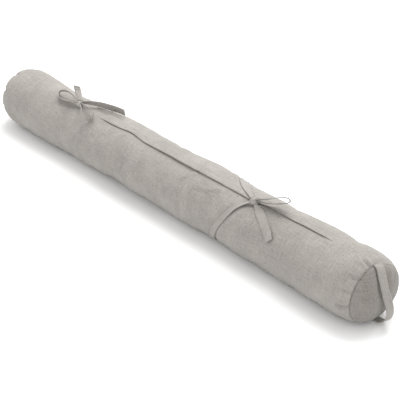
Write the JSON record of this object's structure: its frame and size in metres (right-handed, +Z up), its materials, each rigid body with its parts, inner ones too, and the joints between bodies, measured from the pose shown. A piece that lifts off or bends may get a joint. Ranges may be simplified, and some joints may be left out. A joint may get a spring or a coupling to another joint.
{
  "type": "draught excluder",
  "caption": "Long filled linen bolster draught excluder, lapped along its top and tied shut with ribbon bows, with a strap handle at one end.",
  "frame": {"origin": "middle of the underside, on the surface it rests on, under the middle of the whole object's box", "axes": "+X runs along the bolster towards the handle end, +Y towards the back, +Z up; the front, where the opening and the bows lean, is -Y"},
  "size_m": [0.9131, 0.1137, 0.1302],
  "materials": {
    "linen_cover": "washed plain weave, matt",
    "linen_end_panel": "washed plain weave, matt",
    "linen_handle": "washed plain weave, matt",
    "linen_ribbon": "washed plain weave, matt"
  },
  "bodies": {
    "root": {"body": "linen_cover", "end_panel_near": "linen_end_panel", "end_panel_far": "linen_end_panel", "handle": "linen_handle", "right_tie_band": "linen_ribbon", "right_tie_knot": "linen_ribbon", "right_tie_loop": "linen_ribbon", "right_tie_tail": "linen_ribbon", "left_tie_strap": "linen_ribbon", "left_tie_knot": "linen_ribbon", "left_tie_loop": "linen_ribbon", "left_tie_lower_loop": "linen_ribbon", "left_tie_upright_tail": "linen_ribbon", "left_tie_long_tail": "linen_ribbon"}
  },
  "joints": []
}
